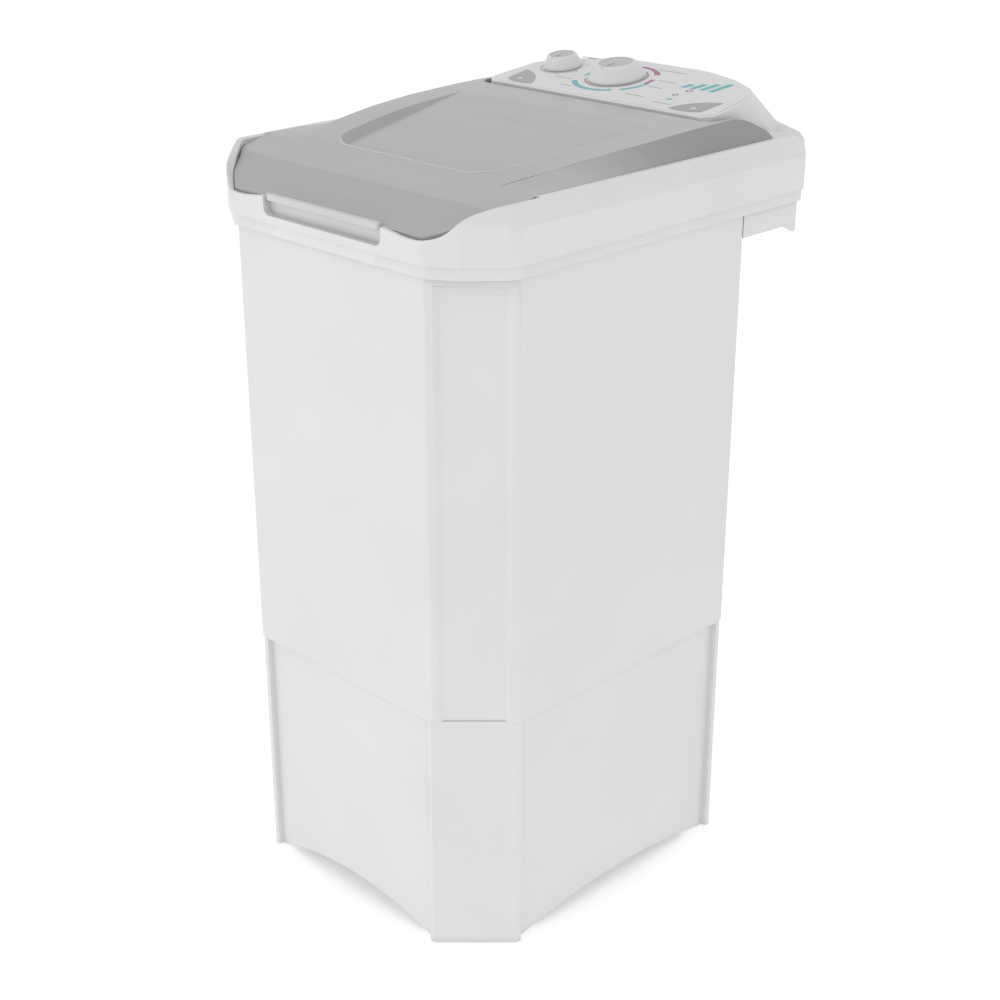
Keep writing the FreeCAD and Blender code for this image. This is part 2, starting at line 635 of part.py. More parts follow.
def make_motor_housing():
    """Round can with closed ends, a shaft bore and four lugs at its top."""
    can = rod(MOTOR_RADIUS, (0, MOTOR_Y, MOTOR_BOTTOM), (0, MOTOR_Y, MOTOR_TOP))
    lugs = prism(rectangle(70, MOTOR_Y - 57, MOTOR_Y + 57), 12, MOTOR_TOP - 4, MOTOR_TOP)
    can = can.fuse(lugs)
    can = can.cut(rod(MOTOR_RADIUS - 3, (0, MOTOR_Y, MOTOR_BOTTOM + 8), (0, MOTOR_Y, MOTOR_TOP - 8)))
    can = can.cut(rod(MOTOR_SHAFT_RADIUS + RUNNING_GAP, (0, MOTOR_Y, MOTOR_BOTTOM - 1), (0, MOTOR_Y, 300)))
    for x, y in motor_bolt_places():
        can = can.cut(rod(3.2, (x, y, MOTOR_TOP - 10), (x, y, MOTOR_TOP + 1)))
    for i in range(12):
        slot = box(MOTOR_RADIUS - 6, MOTOR_RADIUS + 2, -4, 4, MOTOR_BOTTOM + 18, MOTOR_BOTTOM + 44)
        slot.rotate(Vector(0, 0, 0), UP, 30 * i)
        slot.translate(Vector(0, MOTOR_Y, 0))
        can = can.cut(slot)
    return can


def make_motor_stator():
    return tube(MOTOR_RADIUS - 3.1, 36, 0, MOTOR_Y, MOTOR_BOTTOM + 24, MOTOR_BOTTOM + 76)


def make_motor_rotor():
    return tube(35.5, MOTOR_SHAFT_RADIUS, 0, MOTOR_Y, MOTOR_BOTTOM + 26, MOTOR_BOTTOM + 74)


def make_motor_shaft():
    return rod(MOTOR_SHAFT_RADIUS, (0, MOTOR_Y, MOTOR_BOTTOM - 6), (0, MOTOR_Y, BELT_LEVEL + 10))


def make_motor_cushions():
    """Rubber grommets, each held in a hole of the plate and seated on a motor lug."""
    cushions = []
    for x, y in motor_bolt_places():
        parts = [tube(11, 3.2, x, y, MOTOR_TOP, PLATE_LEVEL),
                 tube(6.4, 3.2, x, y, PLATE_LEVEL, PLATE_LEVEL + PLATE_THICKNESS),
                 tube(11, 3.2, x, y, PLATE_LEVEL + PLATE_THICKNESS, PLATE_LEVEL + 6)]
        cushions.append(fuse(parts))
    return cushions


def make_motor_bolts():
    bolts = []
    for x, y in motor_bolt_places():
        head = rod(7, (x, y, PLATE_LEVEL + 6), (x, y, PLATE_LEVEL + 9))
        stem = rod(3, (x, y, MOTOR_TOP - 12), (x, y, PLATE_LEVEL + 6))
        nut = rod(5.5, (x, y, MOTOR_TOP - 9), (x, y, MOTOR_TOP - 4))
        bolts.append(fuse([head, stem, nut]))
    return bolts


def capacitor_place():
    return -105.0, DRIVE_Y + 190.0


def make_capacitor():
    x, y = capacitor_place()
    can = rod(19, (x, y, PLATE_LEVEL - 78), (x, y, PLATE_LEVEL - 3))
    tabs = [box(x + side * 7 - 1, x + side * 7 + 1, y - 3, y + 3, PLATE_LEVEL - 86, PLATE_LEVEL - 78)
            for side in (1, -1)]
    return fuse([can] + tabs)


def make_capacitor_clip():
    x, y = capacitor_place()
    band = tube(20.6, 19.1, x, y, PLATE_LEVEL - 50, PLATE_LEVEL - 30)
    ear = box(x + 19.5, x + 36, y - 6, y + 6, PLATE_LEVEL - 1.5, PLATE_LEVEL)
    leg = box(x + 19.5, x + 21, y - 6, y + 6, PLATE_LEVEL - 50, PLATE_LEVEL)
    return fuse([band, ear, leg])


# ------------------------------------------------------------------ top frame
def rim_outline(inset, front_inset=None):
    """Plan of the wide band: two facets at each front corner, cut-off rear corners."""
    if front_inset is None:
        front_inset = inset
    x = RIM_HALF_X - inset
    front = RIM_FRONT + front_inset
    corner = (inset + front_inset) / 2
    side = [
        (80, front), (158 - 0.3 * corner, front + 1), (191 - 0.7 * corner, -295 + 0.7 * corner),
        (x, -250.5 + 0.4 * corner), (x, 236), (x - 26, 262), (130 - inset / 2, 304 - inset),
        (92, RIM_REAR - inset),
    ]
    return side + [(-px, py) for px, py in reversed(side)]


def rim_wire(inset, z, front_inset=None):
    radii = [max(3, radius - inset) for radius in RIM_RADII]
    return rounded_wire(rim_outline(inset, front_inset), radii + radii[::-1], z)


def rim_block(inset, z0, z1, front_inset=None):
    return Part.Face(rim_wire(inset, z0, front_inset)).extrude(Vector(0, 0, z1 - z0))


def rim_curve_side(level, depth, drop=0.0):
    """Solid between a flat level and the curve that dips across the front and rises at each corner."""
    points = [Vector(-x, 0, z - drop) for x, z in RIM_CURVE[:0:-1]]
    points += [Vector(x, 0, z - drop) for x, z in RIM_CURVE]
    curve = Part.BSplineCurve()
    curve.interpolate(points)
    reach = RIM_CURVE[-1][0]
    ends = [points[-1], Vector(reach, 0, level), Vector(-reach, 0, level), points[0]]
    lines = [Part.LineSegment(a, b).toShape() for a, b in zip(ends, ends[1:])]
    solid = Part.Face(Part.Wire([curve.toShape()] + lines)).extrude(Vector(0, depth, 0))
    solid.translate(Vector(0, RIM_FRONT - 5, 0))
    return solid


def lid_plan(gap):
    """Outline of the lid less a gap, or of the pocket that holds it with no gap."""
    front = RIM_FRONT + RIM_LIP_FRONT + gap
    corner = (RIM_LIP_SIDE + RIM_LIP_FRONT) / 2 + gap
    x = RIM_HALF_X - RIM_LIP_SIDE - gap
    nose = HINGE_Y + HINGE_NOSE_RADIUS
    side = [
        (158 - 0.3 * corner, front), (191 - 0.7 * corner, -295 + 0.7 * corner), (x, -250.5 + 0.4 * corner),
        (x, nose + 2 - gap), (LID_NOTCH_HALF_X - 1.5 + gap, nose + 2 - gap),
        (LID_NOTCH_HALF_X - 1.5 + gap, LID_NOTCH_FRONT + 1 - gap),
    ]
    return side + [(-px, py) for px, py in reversed(side)]


def lid_prism(gap, z0, z1):
    return prism(lid_plan(gap), LID_RADII + LID_RADII[::-1], z0, z1)


def rear_fall():
    """Cutter that drops the rear of the frame a little below its side rims."""
    return extrude_yz([(214, SIDE_RIM_TOP + 1), (236, REAR_DECK_TOP + 2), (340, REAR_DECK_TOP + 8),
                       (340, 960), (214, 960)], -300, 300)


def mirrored(places):
    return [(side * x, y) for side in (1, -1) for x, y in places]


def grip_recess():
    """Cutter for the hand recess, with round lower corners, in the front wall."""
    half = GRIP_HALF_X - WALL
    low = GRIP_LEVEL + WALL
    corners = [(-half, low), (half, low), (half, 900), (-half, 900)]
    front = rounded_wire(corners, [GRIP_RADIUS, GRIP_RADIUS, 1, 1])
    cutter = Part.Face(front).extrude(Vector(0, 0, -15))
    cutter.rotate(Vector(0, 0, 0), X_AXIS, 90)
    cutter.translate(Vector(0, RIM_FRONT - 5, 0))
    return cutter


def make_top_frame():
    lean = loft([rim_wire(0, RIM_CREASE), rim_wire(RIM_LEAN, SIDE_RIM_TOP, 0)])
    frame = fuse([rim_block(BAND_STEP, BAND_LEVEL, RIM_LEVEL), rim_block(0, RIM_LEVEL, RIM_CREASE), lean])
    frame = frame.cut(rim_curve_side(960, 110)).cut(rear_fall())
    hollow = BAND_STEP + BAND_WALL
    frame = frame.cut(rim_block(hollow, BAND_LEVEL - 1, DECK_LEVEL - DECK_THICKNESS))
    rear_hollow = rim_block(hollow + RIM_LEAN, DECK_LEVEL - 9, REAR_DECK_TOP - 5)
    frame = frame.cut(rear_hollow.common(box(-250, 250, 216, 330, 800, 960)))
    frame = frame.cut(lid_prism(0, DECK_LEVEL, 960))
    groove_start = CONSOLE_SOCKET - 0.3
    groove = rod(HINGE_SOCKET_RADIUS + 0.3, (groove_start, HINGE_Y, HINGE_Z), (190, HINGE_Y, HINGE_Z))
    frame = frame.cut(fuse(both_sides(groove)))
    hollow_shoulder = box(WELL_HALF_X + WALL, 185, CONSOLE_FRONT, 212, DECK_LEVEL - 10, 898)
    frame = frame.cut(fuse(both_sides(hollow_shoulder)))
    screw_x, screw_y = CONSOLE_SCREWS[0]
    screw_boss = rod(9, (screw_x, screw_y, 886), (screw_x, screw_y, 900))
    frame = fuse([frame] + both_sides(screw_boss))
    frame = frame.cut(prism(rectangle(WELL_HALF_X, WELL_FRONT, WELL_REAR), 8, 800, 960))
    backing = box(-GRIP_HALF_X, GRIP_HALF_X, RIM_FRONT + 4, RIM_FRONT + 13, GRIP_LEVEL, GRIP_BACK_TOP)
    bosses = [rod(5, (x, y, 803), (x, y, REAR_DECK_TOP - 4)) for x, y in mirrored(COVER_SCREWS)]
    mouth = rectangle(MOUTH_HALF_X, MOUTH_FRONT, MOUTH_REAR)
    around = rectangle(MOUTH_HALF_X + WALL, MOUTH_FRONT - WALL, MOUTH_REAR + WALL)
    collar = prism(around, MOUTH_RADIUS + WALL, MOUTH_BOTTOM, DECK_LEVEL)
    frame = fuse([frame, backing, collar] + bosses).cut(prism(mouth, MOUTH_RADIUS, 800, 960))
    frame = frame.cut(grip_recess())
    for x, y in mirrored(CONSOLE_SCREWS):
        frame = frame.cut(rod(2.3, (x, y, 850), (x, y, 920)))
        frame = frame.cut(rod(6, (x, y, 850), (x, y, 893)))
    for x, y in mirrored(COVER_SCREWS):
        frame = frame.cut(rod(1.6, (x, y, 800), (x, y, 820)))
    return frame


def make_rear_cover():
    """Tray under the rear overhang; its side walls end in rounded lugs that hold a stored hose."""
    inside = COVER_INSET + WALL
    floor, front = COVER_FLOOR, COVER_FRONT
    top = BAND_LEVEL + 5
    keep = box(-250, 250, front, 330, 780, 840)
    outer = rim_block(COVER_INSET, COVER_LUG_BOTTOM, top).common(keep)
    outer = outer.cut(rim_block(inside, floor + WALL, top + 1))
    outer = outer.cut(rim_block(inside, COVER_LUG_BOTTOM - 1, floor))
    outer = outer.cut(cabinet_block(780, 840, 5, -1.2))
    lug = [(front - 1, floor), (208, floor), (218, floor - 3), (226, floor - 8), (232, floor - 10),
           (238, floor - 9), (241, floor - 4), (242, floor), (330, floor), (330, 780), (front - 1, 780)]
    outer = outer.cut(extrude_yz(lug, -250, 250))
    for x, y in mirrored(COVER_SCREWS):
        outer = outer.cut(rod(2.2, (x, y, floor - 1), (x, y, floor + WALL + 1)))
    return outer.cut(rod(CORD_RADIUS, (CORD_X, CORD_Y, floor - 1), (CORD_X, CORD_Y, floor + WALL + 1)))


def make_cord_gland():
    """Grommet in the floor of the rear cover, where a mains lead would leave."""
    below, above = COVER_FLOOR - 0.1, COVER_FLOOR + WALL + 0.1
    neck = tube(CORD_RADIUS - 0.1, CORD_BORE, CORD_X, CORD_Y, below, above)
    flanges = [tube(CORD_RADIUS + 3, CORD_BORE, CORD_X, CORD_Y, z0, z1)
               for z0, z1 in ((COVER_FLOOR - 4, below), (above, above + 2.9))]
    return fuse([neck] + flanges)


def make_cover_screws():
    under = COVER_FLOOR - 0.1
    screws = []
    for x, y in mirrored(COVER_SCREWS):
        head = rod(3.8, (x, y, under - 2.5), (x, y, under))
        stem = rod(1.55, (x, y, under), (x, y, COVER_FLOOR + 18))
        screws.append(fuse([head, stem]))
    return screws


def make_console_screws():
    screws = []
    for x, y in mirrored(CONSOLE_SCREWS):
        head = rod(4, (x, y, 890), (x, y, 893))
        stem = rod(1.8, (x, y, 893), (x, y, 908))
        screws.append(fuse([head, stem]))
    return screws


# ------------------------------------------------------------------ lid
def lid_section(drop):
    """Side view of the lid, lowered by the given amount, with a round nose at its hinge."""
    nose = HINGE_NOSE_RADIUS - drop
    rise, fall = math.sin(math.radians(HINGE_NOSE_ANGLE)), math.cos(math.radians(HINGE_NOSE_ANGLE))
    meet = Vector(0, HINGE_Y + nose * fall, HINGE_Z + nose * rise)
    points = [Vector(0, y, z - drop) for y, z in LID_TOP[1:] + LID_FALL] + [meet]
    ridge = points[0]
    toe = Vector(0, LID_TOP[0][0], LID_TOP[0][1] - drop)
    start = toe - (ridge - toe).normalize() * 20
    curve = Part.BSplineCurve()
    curve.interpolate(points, InitialTangent=Vector(0, 1, 0.28), FinalTangent=Vector(0, rise, -fall))
    low = 840.0
    rear = Vector(0, HINGE_Y + nose, HINGE_Z)
    under = Vector(0, HINGE_Y, HINGE_Z - nose)
    wire = Part.Wire([
        Part.LineSegment(start, ridge).toShape(),
        curve.toShape(),
        Part.Arc(meet, rear, under).toShape(),
        Part.LineSegment(under, Vector(0, HINGE_Y, low)).toShape(),
        Part.LineSegment(Vector(0, HINGE_Y, low), Vector(0, start.y, low)).toShape(),
        Part.LineSegment(Vector(0, start.y, low), start).toShape(),
    ])
    section = Part.Face(wire).extrude(Vector(500, 0, 0))
    section.translate(Vector(-250, 0, 0))
    return section


def side_facets(inset):
    """Cutters that slope the lid's long edges, more steeply towards the rear."""
    edge = RIM_HALF_X - RIM_LIP_SIDE - LID_GAP - inset
    low = SIDE_RIM_TOP - inset * 0.3
    sections = []
    for y, half_width, height in LID_CREASE:
        crease, top = half_width - inset, height - inset
        corners = [(crease, top), (crease, 980), (edge + 30, 980), (edge + 30, low), (edge, low)]
        sections.append(Part.makePolygon([Vector(x, y, z) for x, z in corners + corners[:1]]))
    return fuse(both_sides(loft(sections)))


def lid_body(inset):
    low = DECK_LEVEL + 1 if inset == 0 else DECK_LEVEL - 10
    block = lid_prism(LID_GAP + inset, low, 960).common(lid_section(inset))
    return block.cut(side_facets(inset))


def lid_tray(margin, drop):
    """Sunken panel with sloping sides in the lid's top, level with the top at its rear."""
    wires = []
    for level, half_width, front, radius in TRAY_LEVELS:
        plan = rectangle(half_width + margin, front - margin, TRAY_REAR + margin)
        radii = [radius + margin, 10, 10, radius + margin]
        wires.append(rounded_wire(plan, radii, level - drop))
    (front, low), (rear, high) = TRAY_FLOOR
    wedge = extrude_yz([(front, low - drop), (rear, high - drop), (rear + 50, high + 40),
                        (rear + 50, 980), (front, 980)], -200, 200)
    return loft(wires).common(wedge)


def make_lid():
    hollow = lid_body(LID_THICKNESS).cut(lid_tray(3, LID_THICKNESS))
    lid = lid_body(0).cut(hollow).cut(lid_tray(0, 0))
    ear_front = HINGE_Y - HINGE_NOSE_RADIUS - 3
    ear_clearance = box(-250, 250, ear_front, 230, 800, HINGE_Z - HINGE_NOSE_RADIUS)
    skirt_reach = ear_front - RIM_FRONT + 5
    lid = lid.cut(ear_clearance).cut(rim_curve_side(840, skirt_reach, LID_NEST))
    inner = LID_NOTCH_HALF_X - 0.7
    bosses = both_sides(rod(HINGE_BOSS_RADIUS, (inner, HINGE_Y, HINGE_Z), (inner + 14, HINGE_Y, HINGE_Z)))
    lid = fuse([lid] + bosses)
    bores = both_sides(rod(HINGE_PIN_RADIUS, (180, HINGE_Y, HINGE_Z), (HINGE_PIN_END, HINGE_Y, HINGE_Z)))
    return lid.cut(fuse(bores))


def make_lid_bumpers():
    """Two rubber buffers on the deck that the closed lid's front rests on."""
    return both_sides(rod(5, (BUMPER_X, BUMPER_Y, DECK_LEVEL), (BUMPER_X, BUMPER_Y, BUMPER_TOP)))


def make_hinge_pins():
    start = CONSOLE_SOCKET + 3
    return both_sides(rod(HINGE_PIN_RADIUS, (start, HINGE_Y, HINGE_Z), (HINGE_PIN_END, HINGE_Y, HINGE_Z)))


def make_lid_handle():
    """Grip bar along the lid's front edge, over the finger recess of the rim."""
    plan = rectangle(HANDLE_HALF_X, RIM_FRONT, RIM_FRONT + 14)
    bar = prism(plan, [5, 1, 1, 5], HANDLE_BOTTOM, HANDLE_TOP)
    return bar.cut(lid_prism(LID_GAP, 800, 980))


# ------------------------------------------------------------------ console
def console_level(y):
    return CONSOLE_FRONT_TOP + (y - CONSOLE_FRONT) * math.tan(math.radians(CONSOLE_TILT))


def on_console(shape, x, y):
    """Place a shape made round the origin on the sloping top, square to it."""
    shape.Placement = Placement(Vector(x, y, console_level(y)), Rotation(X_AXIS, CONSOLE_TILT))
    return shape


def console_wire(points, inset, level):
    middle = 190.0
    radii = [max(2, radius - inset) for radius in CONSOLE_RADII]
    side = [(x - inset, y + (inset if y < middle else -inset)) for x, y in points]
    wire = rounded_wire(side + [(-x, y) for x, y in reversed(side)], radii + radii[::-1])
    if level is None:
        return tilt_wire(wire, inset)
    wire.translate(Vector(0, 0, level))
    return wire


def tilt_wire(wire, drop):
    """Lift a flat outline onto the sloping top, less a drop."""
    matrix = FreeCAD.Matrix()
    matrix.A32 = math.tan(math.radians(CONSOLE_TILT))
    matrix.A34 = console_level(0) - drop
    return Part.Wire(Part.__sortEdges__(wire.transformGeometry(matrix).Edges))


def console_block(inset):
    return loft([console_wire(CONSOLE_BASE, inset, CONSOLE_FOOT - inset),
                 console_wire(CONSOLE_CROWN, inset, None)])


def make_console_shell(frame):
    outer = console_block(0)
    shell = outer.cut(console_block(CONSOLE_WALL))
    bosses = [rod(5, (x, y, 880), (x, y, 930)) for x, y in mirrored(CONSOLE_SCREWS)]
    socket = rod(HINGE_SOCKET_RADIUS, (CONSOLE_SOCKET, HINGE_Y, HINGE_Z), (188, HINGE_Y, HINGE_Z))
    posts = fuse(bosses).common(outer)
    reach = fuse(both_sides(socket)).cut(box(-250, 250, 100, 300, 930, 960))
    shell = fuse([shell, posts, reach]).cut(frame)
    bore = HINGE_PIN_RADIUS + RUNNING_GAP
    for side in (1, -1):
        start, end = side * (CONSOLE_SOCKET + 2.5), side * 200
        shell = shell.cut(rod(bore, (start, HINGE_Y, HINGE_Z), (end, HINGE_Y, HINGE_Z)))
    for x, y in mirrored(CONSOLE_SCREWS):
        shell = shell.cut(rod(1.85, (x, y, 880), (x, y, 909))).cut(rod(6, (x, y, 880), (x, y, 893)))
    for x, y, radius in ((TIMER_X, TIMER_Y, 7), (SELECTOR_X, SELECTOR_Y, 6)):
        shell = shell.cut(on_console(rod(radius, (0, 0, -10), (0, 0, 10)), x, y))
    return max(shell.Solids, key=lambda solid: solid.Volume)


def inlay_outline(side):
    """Leaf-shaped corner mark as a wire on the plane z = 0."""
    tip_in = Vector(side * 112, 0, 0)
    tip_out = Vector(side * 160, 42, 0)
    toe = Vector(side * 157, 4, 0)
    return Part.Wire([
        Part.Arc(tip_in, Vector(side * 128, 25, 0), tip_out).toShape(),
        Part.LineSegment(tip_out, toe).toShape(),
        Part.Arc(toe, Vector(side * 140, -2, 0), tip_in).toShape(),
    ])


def inlay_solid(side, thickness):
    solid = Part.Face(inlay_outline(side)).extrude(Vector(0, 0, thickness))
    return on_console(solid, 0, CONSOLE_FRONT + 12)


def make_corner_inlays():
    return [inlay_solid(side, LABEL_THICKNESS + 0.4) for side in (1, -1)]


def make_console_label():
    face = Part.Face(console_wire(CONSOLE_CROWN, LABEL_INSET, None))
    label = face.extrude(Vector(0, 0, LABEL_THICKNESS))
    label.translate(Vector(0, 0, LABEL_INSET))
    for x, y, radius in ((TIMER_X, TIMER_Y, 7.5), (SELECTOR_X, SELECTOR_Y, 6.5)):
        label = label.cut(on_console(rod(radius, (0, 0, -5), (0, 0, 5)), x, y))
    for side in (1, -1):
        label = label.cut(inlay_solid(side, 3))
    return label


def knob(base, crown, height, cap, shaft):
    """Cone-sided knob with a dished top for its cap, a pointer notch and a blind shaft bore."""
    profile = [(0, 1), (base, 1), (base, 3.5), (crown + 1.5, height - 1.5), (crown, height),
               (cap, height), (cap, height - 2), (0, height - 2)]
    body = revolve(profile, 0, 0)
    skirt_hollow = Part.makeCone(base - 3, crown - 3, height - 7, Vector(0, 0, 0.5), UP)
    hub = rod(shaft + 4, (0, 0, 1), (0, 0, height - 3))
    body = fuse([body.cut(skirt_hollow), hub])
    body = body.cut(rod(shaft, (0, 0, 0), (0, 0, height - 5)))
    return body.cut(box(-1.2, 1.2, -crown - 2, -cap - 0.6, height - 1.2, height + 1))


def make_knob_cap(radius, height):
    cap = rod(radius - 0.1, (0, 0, height - 2), (0, 0, height - 0.4))
    return cap.fuse(box(-1.4, 1.4, -radius + 4, -4, height - 0.4, height + 0.3)).removeSplitter()


def make_switch_shaft(radius, height):
    return rod(radius, (0, 0, -22), (0, 0, height - 5))


def make_switch_body(width, depth, height, shaft):
    """Boxed timer or switch, hung under the console by its threaded neck."""
    top = -CONSOLE_WALL - 0.2
    body = box(-width / 2, width / 2, -depth / 2, depth / 2, top - height, top)
    neck = rod(shaft + 2.4, (0, 0, top), (0, 0, top + 2.0))
    tabs = [box(-width / 2 + 6 + 9 * i, -width / 2 + 7 + 9 * i, -3, 3, top - height - 8, top - height)
            for i in range(int((width - 12) / 9))]
    return fuse([body, neck] + tabs).cut(rod(shaft + RUNNING_GAP, (0, 0, -22.5), (0, 0, 5)))


# ------------------------------------------------------------------ nodes
def build_nodes():
    top_frame = make_top_frame()
    timer = (TIMER_X, TIMER_Y)
    selector = (SELECTOR_X, SELECTOR_Y)
    return {
        "cabinet_shell": make_cabinet_shell(),
        "base_skirt": make_base_skirt(),
        "foot_pads": make_foot_pads(),
        "wash_tub": make_wash_tub(),
        "top_frame": top_frame,
        "rear_cover": make_rear_cover(),
        "cover_screws": make_cover_screws(),
        "cord_gland": make_cord_gland(),
        "console_shell": make_console_shell(top_frame),
        "console_screws": make_console_screws(),
        "console_label": make_console_label(),
        "corner_inlays": make_corner_inlays(),
        "timer_body": on_console(make_switch_body(62, 54, 36, 3.0), *timer),
        "timer_shaft": on_console(make_switch_shaft(3.0, 20), *timer),
        "timer_knob": on_console(knob(36, 24, 20, 21.5, 3.0), *timer),
        "timer_knob_cap": on_console(make_knob_cap(21.5, 20), *timer),
        "selector_switch": on_console(make_switch_body(33, 34, 26, 2.5), *selector),
        "selector_shaft": on_console(make_switch_shaft(2.5, 17), *selector),
        "selector_knob": on_console(knob(24.5, 17.5, 17, 15.5, 2.5), *selector),
        "selector_knob_cap": on_console(make_knob_cap(15.5, 17), *selector),
        "lid": make_lid(),
        "lid_handle": make_lid_handle(),
        "hinge_pins": make_hinge_pins(),
        "lid_bumpers": make_lid_bumpers(),
        "lint_filter": make_lint_filter(),
        "drain_elbow": make_drain_elbow(),
        "drain_grille": make_drain_grille(),
        "pulsator": make_pulsator(),
        "pulsator_screw": make_pulsator_screw(),
        "pulsator_shaft": make_pulsator_shaft(),
        "shaft_seal": make_shaft_seal(),
        "shaft_bushes": make_shaft_bushes(),
        "bearing_housing": make_bearing_housing(),
        "housing_bolts": make_housing_bolts(),
        "driven_pulley": make_driven_pulley(),
        "drive_belt": make_drive_belt(),
        "drive_pulley": make_drive_pulley(),
        "motor_shaft": make_motor_shaft(),
        "motor_rotor": make_motor_rotor(),
        "motor_stator": make_motor_stator(),
        "motor_housing": make_motor_housing(),
        "motor_cushions": make_motor_cushions(),
        "motor_bolts": make_motor_bolts(),
        "motor_plate": make_motor_plate(),
        "plate_bolts": make_plate_bolts(),
        "capacitor": make_capacitor(),
        "capacitor_clip": make_capacitor_clip(),
    }


def write(nodes):
    os.makedirs("parts", exist_ok=True)
    for name, shape in nodes.items():
        solids = shape if isinstance(shape, list) else shape.Solids
        for solid in solids:
            if not solid.isValid():
                print("invalid solid in", name)
        part = solids[0] if len(solids) == 1 else Part.makeCompound(solids)
        part.exportStep("parts/" + name + ".step")


if __name__ == "__main__":
    write(build_nodes())
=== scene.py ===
import json
import math

import bmesh
import bpy
from mathutils import Matrix, Vector


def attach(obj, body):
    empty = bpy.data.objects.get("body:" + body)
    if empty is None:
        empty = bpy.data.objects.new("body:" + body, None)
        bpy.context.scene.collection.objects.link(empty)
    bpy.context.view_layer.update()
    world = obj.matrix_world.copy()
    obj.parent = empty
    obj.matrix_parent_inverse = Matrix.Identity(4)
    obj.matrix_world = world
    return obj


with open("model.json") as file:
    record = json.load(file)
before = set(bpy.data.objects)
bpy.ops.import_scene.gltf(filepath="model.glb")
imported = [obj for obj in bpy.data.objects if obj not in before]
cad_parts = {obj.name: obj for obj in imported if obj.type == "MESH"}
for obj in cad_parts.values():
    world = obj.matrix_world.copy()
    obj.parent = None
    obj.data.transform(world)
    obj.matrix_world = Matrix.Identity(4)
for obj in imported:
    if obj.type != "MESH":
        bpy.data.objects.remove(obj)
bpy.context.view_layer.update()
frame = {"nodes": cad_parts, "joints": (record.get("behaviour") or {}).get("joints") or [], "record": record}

# A full-height wash tub with a sloping console: white satin body, glossy white rim and console,
# smoke-grey lid.  Metres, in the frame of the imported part.  Sizes named _MM are millimetres.

MM = 0.001
LABEL_TOP_MM = 0.4           # marks on the console's film start this far above its sloping plane
INLAY_TOP_MM = 0.8           # and marks on the corner inlays this far
PRINT_MM = 0.12              # printed marks are built as very thin plates

TEAL = (0.13, 0.50, 0.56)
MAGENTA = (0.50, 0.13, 0.33)
PLUM_PRINT_AND_SHADOW = (0.30, 0.16, 0.25)
PRINT_GREY = (0.30, 0.30, 0.32)
PRINT_PALE = (0.50, 0.50, 0.52)
PRINT_WHITE = (0.85, 0.85, 0.85)

WORLD_LIGHT = 0.70           # even light that reaches the object from all round
BACKDROP_LIGHT = 1.1         # how bright the backdrop itself looks
FLOOR_GLOW = 0.36            # the floor's own faint light
FLOOR_REACH = 16.0           # half the floor's width

CAMERA_PLACE = (1.483, -1.528, 1.348)
CAMERA_TARGET = (-0.008, -0.036, 0.45)
CAMERA_LENS_MM = 65.45
CAMERA_SENSOR_MM = 36.0
CAMERA_FARTHEST = 60

# place, width and power in watts of each square light; all of them face LIGHT_TARGET
LIGHTS = {
    "top": ((-0.6, -0.2, 4.0), 3.0, 10),
    "front": ((-1.6, -3.4, 2.0), 2.0, 12),
}
LIGHT_TARGET = (0, 0, 0.5)

JOINTS = {joint["name"]: joint for joint in frame["joints"]}
NODES = frame["nodes"]


# ------------------------------------------------------------------ materials
NOISE_LOW, NOISE_HIGH = 0.3, 0.7         # nearly all of a noise pattern lies between these
# painted shade laid into crevices, seams and steps: its colour, how far it reaches and how strong it is
CREVICE_SHADE_COLOUR = (0.10, 0.10, 0.10)
CREVICE_SHADE_REACH = 0.012
CREVICE_SHADE_DEPTH = 0.24
STAIN_SHADE = 0.88


